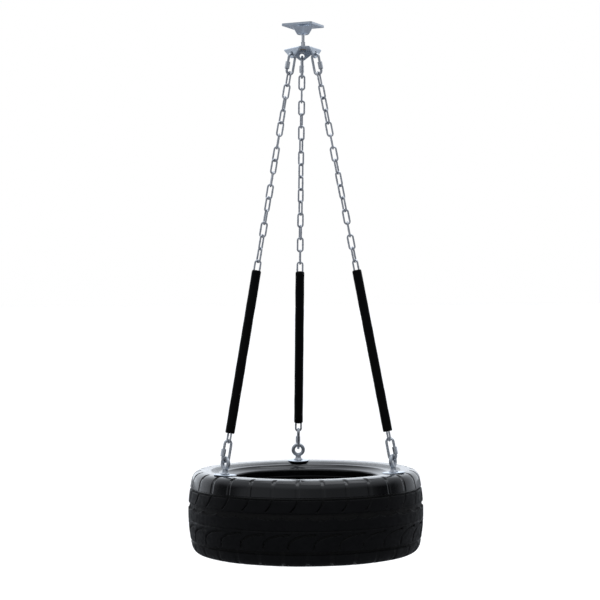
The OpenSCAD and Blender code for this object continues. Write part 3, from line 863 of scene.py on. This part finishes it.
def stitch(fine, coarse):
    """Faces between two closed rings, where fine has a whole number of points for each of coarse's."""
    many = len(fine) // len(coarse)
    faces = []
    for i, point in enumerate(coarse):
        span = [fine[(i * many + n) % len(fine)] for n in range(many + 1)]
        faces.append((*span, coarse[(i + 1) % len(coarse)], point))
    return faces


def sheet_faces(rows, columns, windows, first=0):
    """Quads over a grid of rows and columns, but for the cells inside the windows."""
    gone = {(r, c % columns) for (low_r, high_r), (low_c, high_c) in windows
            for r in range(low_r, high_r) for c in range(low_c, high_c)}
    return [(first + r * columns + c, first + r * columns + (c + 1) % columns,
             first + (r + 1) * columns + (c + 1) % columns, first + (r + 1) * columns + c)
            for r in range(rows - 1) for c in range(columns) if (r, c) not in gone]


def ring_points(radius, height, columns):
    """A grid of points, one row for each radius and height, turned about the tyre's axis."""
    angle = np.arange(columns) * 2 * np.pi / columns
    return np.stack([radius * np.cos(angle), radius * np.sin(angle), height + 0 * angle], 2).reshape(-1, 3)


def hole_window(points, side, degrees, cells, columns):
    """The square of cells that a hole at the bolts' radius replaces."""
    row = int(np.argmin(np.where(points[:, 1] * side > 60, np.abs(points[:, 0] - SEAT_R), 1e9)))
    column = round(degrees / 360 * columns)
    low_r, low_c = row - cells // 2, column - cells // 2
    return (low_r, low_r + cells), (low_c, low_c + cells)


def hole_ring(rim, middle, across, axis, radius, level):
    """A hole's edge, with one point for each point of the square rim round it."""
    side = np.cross(axis, across)
    turn = np.arctan2((rim - middle) @ side, (rim - middle) @ across)[:, None]
    return middle + axis * level + radius * (np.cos(turn) * across + np.sin(turn) * side)


def tyre_grids(outer_line, inner_line):
    """The tyre's outer grid with its tread cut in, its inner grid, the outer section and the cuts' depth."""
    reach = np.linalg.norm(np.diff(outer_line, axis=0), axis=1).sum() / 2
    half = np.concatenate([np.arange(0, TREAD_REACH, TREAD_STEP),
                           np.linspace(TREAD_REACH, reach, round((reach - TREAD_REACH) / SIDE_STEP))])
    along = np.concatenate([-half[:0:-1], half])[:, None]
    points, normals = at_lengths(outer_line, along[:, 0] + reach)
    degrees = np.arange(COLUMNS) * 360 / COLUMNS + 0 * along
    cut = tread_depth(degrees, along + 0 * degrees) * step(TREAD_REACH - 3 - np.abs(along), 3)
    swell = np.sin(np.radians(5 * degrees) + 1.3) * np.cos(along / 60)
    swell = swell + 0.6 * np.sin(np.radians(11 * degrees) + along / 35)
    sink = cut - sidewall_relief(degrees, points[:, :1], along)
    sink = sink - SWELL * swell * step(TREAD_REACH - np.abs(along), 20)
    outer = ring_points(points[:, :1] - sink * normals[:, :1], points[:, 1:] - sink * normals[:, 1:], COLUMNS)
    inner = ring_points(inner_line[1:-1, :1], inner_line[1:-1, 1:], INNER_COLUMNS)
    return outer, inner, points, cut


def hole_walls(outer, rim, side, radius, place):
    """The edges of a hole through a sidewall, outside and inside, square to the sidewall there."""
    turn = math.radians(place)
    lean = BOLT_LEAN if side > 0 else 0
    out = np.array([math.cos(turn), math.sin(turn), 0])
    axis = np.array([0, 0, math.cos(lean)]) - math.sin(lean) * out
    across = np.cross([-math.sin(turn), math.cos(turn), 0], axis)
    middle = SEAT_R * out + np.array([0, 0, side * SEAT_H])
    tilt = side * math.tan(BOLT_LEAN)
    rings = []
    for level in (0, -side * SIDEWALL):
        ring = hole_ring(outer[rim], middle, across, axis, radius, level)
        ring[:, 2] = side * SEAT_H + level + tilt * (ring @ out - SEAT_R)
        rings.append(ring)
    return rings


def tyre_shell(outer, inner, section, inner_section):
    """The two grids as one closed skin, with the bolt holes above and the drain holes below."""
    rows, inner_rows, first = len(section), len(inner_section), len(outer)
    windows, inner_windows, faces = [], [], []
    verts = [outer, inner]
    count = len(outer) + len(inner)
    for side, radius, offset in ((1, BOLT_HOLE_RADIUS, 0), (-1, DRAIN_RADIUS, DRAIN_TURN)):
        for leg in LEGS:
            place = LEG_DEGREES * (leg - 1) + offset
            windows.append(hole_window(section, side, place, HOLE_CELLS, COLUMNS))
            inner_windows.append(hole_window(inner_section, side, place, HOLE_CELLS // 4, INNER_COLUMNS))
            rim = window_rim(windows[-1], COLUMNS)
            inner_rim = [first + i for i in window_rim(inner_windows[-1], INNER_COLUMNS)]
            rings = []
            for ring in hole_walls(outer, rim, side, radius, place):
                verts.append(ring)
                rings.append(list(range(count, count + len(rim))))
                count += len(rim)
            faces += stitch(rim, rings[0]) + stitch(rings[0], rings[1]) + stitch(rings[1], inner_rim)
    faces += sheet_faces(rows, COLUMNS, windows)
    faces += sheet_faces(inner_rows, INNER_COLUMNS, inner_windows, first)
    for row, inner_row in ((0, 0), (rows - 1, inner_rows - 1)):
        coarse = range(first + inner_row * INNER_COLUMNS, first + (inner_row + 1) * INNER_COLUMNS)
        faces += stitch(list(range(row * COLUMNS, (row + 1) * COLUMNS)), list(coarse))
    return np.concatenate(verts), faces


def wear_tread(mesh):
    """Gives the tread below the upper groove its duller, worn finish."""
    mesh.materials.append(LOOKS["tyre_tread"])
    centre = np.zeros(len(mesh.polygons) * 3)
    mesh.polygons.foreach_get("center", centre)
    x, y, z = (centre.reshape(-1, 3) - [0, 0, TYRE_Z]).T / MM
    worn = (np.hypot(x, y) > np.where(z < 0, LOWER_SHOULDER, TREAD_FLOOR)) & (z < UPPER_GROOVE)
    mesh.polygons.foreach_set("material_index", worn.astype(np.int32))


def make_tyre():
    """The tyre, with dust marked in its grooves for the rubber's colour."""
    outer_line, inner_line = tyre_lines()
    outer_line = both_sides(outer_line)
    inner_line = both_sides(inner_line[::-1])
    outer, inner, section, cut = tyre_grids(outer_line, inner_line)
    verts, faces = tyre_shell(outer, inner, section, inner_line[1:-1])

    mesh = bpy.data.meshes.new("tyre_carcass")
    mesh.from_pydata((verts * MM + [0, 0, TYRE_Z]).tolist(), [], faces)
    dust = np.zeros(len(verts), np.float32)
    dust[:len(outer)] = np.clip(cut / 4, 0, 1).reshape(-1)
    mesh.attributes.new("dust", "FLOAT", "POINT").data.foreach_set("value", dust)
    finish_piece("tyre_carcass", mesh, "tyre_rubber", "tyre_seat", ["tyre"], 60)
    wear_tread(mesh)


# ---------------------------------------------------------------- the object

for leg in LEGS:
    make_chain(leg)
    make_quick_link(leg, "upper", -EAR_GAP)
    make_quick_link(leg, "lower", LOWER_QUICK)
    make_grip(leg)
make_eye_bolts()
make_tyre()
